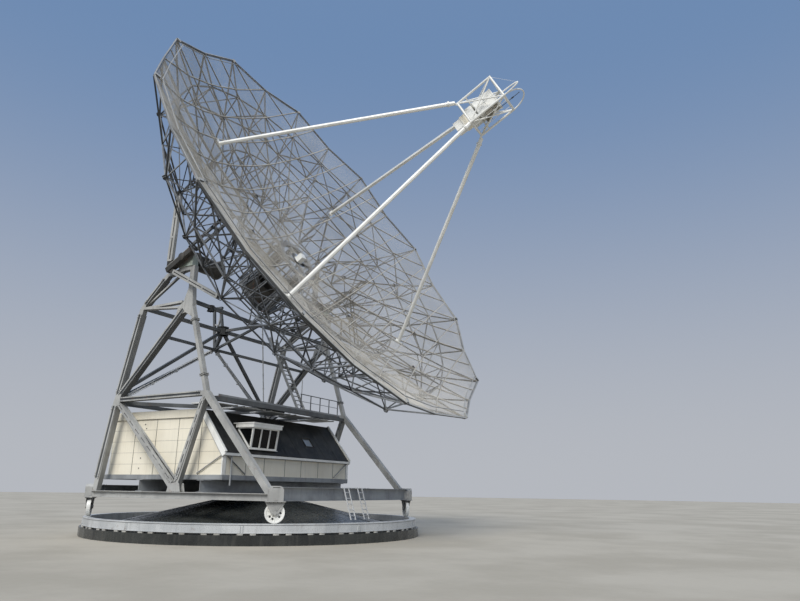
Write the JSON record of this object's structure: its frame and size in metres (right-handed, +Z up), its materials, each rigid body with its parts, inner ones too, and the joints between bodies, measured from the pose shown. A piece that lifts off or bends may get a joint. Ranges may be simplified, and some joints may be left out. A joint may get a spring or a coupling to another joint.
{
  "type": "radio telescope dish",
  "caption": "Steerable radio telescope: a wire mesh paraboloid with struts and a focus cage, tilting between lattice towers on a turntable carriage with a cabin.",
  "frame": {"origin": "centre of the ring track on the ground, on the plinth's flat underside", "axes": "+Z up along the azimuth axis, +X where the dish looks at rest, elevation axis parallel to Y"},
  "size_m": [23.6281, 24.1688, 26.7582],
  "materials": {
    "steel": "satin grey paint",
    "beam": "satin darker grey paint",
    "ring": "silver grey paint",
    "white": "white paint",
    "mesh": "galvanised wire mesh",
    "black": "black coating",
    "cream": "cream painted panels",
    "bearing": "pale green grey paint",
    "glass": "dark window glass"
  },
  "bodies": {
    "base": {"foundation": "black", "centre_pivot": "beam", "track_ring_1": "ring", "track_ring_2": "ring"},
    "carriage": {"side_beam_near": "steel", "side_beam_far": "steel", "front_beam": "beam", "rear_beam": "beam", "cross_girders": "beam", "tower_near": "steel", "tower_far": "steel", "bearing_near": "bearing", "bearing_far": "bearing", "rear_frame": "steel", "mid_frame": "steel", "service_platform": "beam", "cabin_floor": "beam", "cabin_gable_near": "cream", "cabin_gable_far": "cream", "cabin_front_wall": "cream", "cabin_rear_wall": "cream", "cabin_door": "cream", "cabin_roof": "black", "roof_light": "glass", "cabin_dormer": "white", "dormer_glass": "glass", "ladder_left": "white", "ladder_right": "white"},
    "corner_wheel_1": {"wheel_1": "white"},
    "corner_wheel_2": {"wheel_2": "white"},
    "corner_wheel_3": {"wheel_3": "white"},
    "corner_wheel_4": {"wheel_4": "white"},
    "dish": {"hub": "steel", "strut_1": "white", "strut_2": "white", "strut_3": "white", "strut_4": "white", "focus_cage": "white", "receiver": "white", "feed": "cream", "vertex_box": "white", "cradle_near": "steel", "cradle_far": "steel", "back_frame_1": "steel", "back_frame_2": "steel", "back_frame_3": "steel", "back_frame_4": "steel", "back_frame_5": "steel", "back_frame_6": "steel", "back_frame_7": "steel", "back_frame_8": "steel", "back_frame_9": "steel", "back_frame_10": "steel", "back_frame_11": "steel", "back_frame_12": "steel", "skin_1": "mesh", "skin_2": "mesh", "skin_3": "mesh", "skin_4": "mesh"}
  },
  "joints": [
    {"name": "azimuth", "type": "hinge", "parent": "base", "child": "carriage", "pos_m": [0, 0, 0], "axis": [0, 0, 1], "range_deg": [-270, 270]},
    {"name": "elevation", "type": "hinge", "parent": "carriage", "child": "dish", "pos_m": [-0.67207, 0, 13.27644], "axis": [0, -1, 0], "range_deg": [-14.8, 60.2]},
    {"name": "wheel_1_roll", "type": "hinge", "parent": "carriage", "child": "corner_wheel_1", "pos_m": [5.7311, -5.7311, 1.2653], "axis": [0.7071, -0.7071, 0], "range_deg": [-5290, 5290]},
    {"name": "wheel_2_roll", "type": "hinge", "parent": "carriage", "child": "corner_wheel_2", "pos_m": [-5.7311, -5.7311, 1.2653], "axis": [-0.7071, -0.7071, 0], "range_deg": [-5290, 5290]},
    {"name": "wheel_3_roll", "type": "hinge", "parent": "carriage", "child": "corner_wheel_3", "pos_m": [-5.7311, 5.7311, 1.2653], "axis": [-0.7071, 0.7071, 0], "range_deg": [-5290, 5290]},
    {"name": "wheel_4_roll", "type": "hinge", "parent": "carriage", "child": "corner_wheel_4", "pos_m": [5.7311, 5.7311, 1.2653], "axis": [0.7071, 0.7071, 0], "range_deg": [-5290, 5290]}
  ],
  "couplings": [
    {"joint": "wheel_1_roll", "follows": "azimuth", "ratio": -19.53},
    {"joint": "wheel_2_roll", "follows": "azimuth", "ratio": -19.53},
    {"joint": "wheel_3_roll", "follows": "azimuth", "ratio": -19.53},
    {"joint": "wheel_4_roll", "follows": "azimuth", "ratio": -19.53}
  ]
}
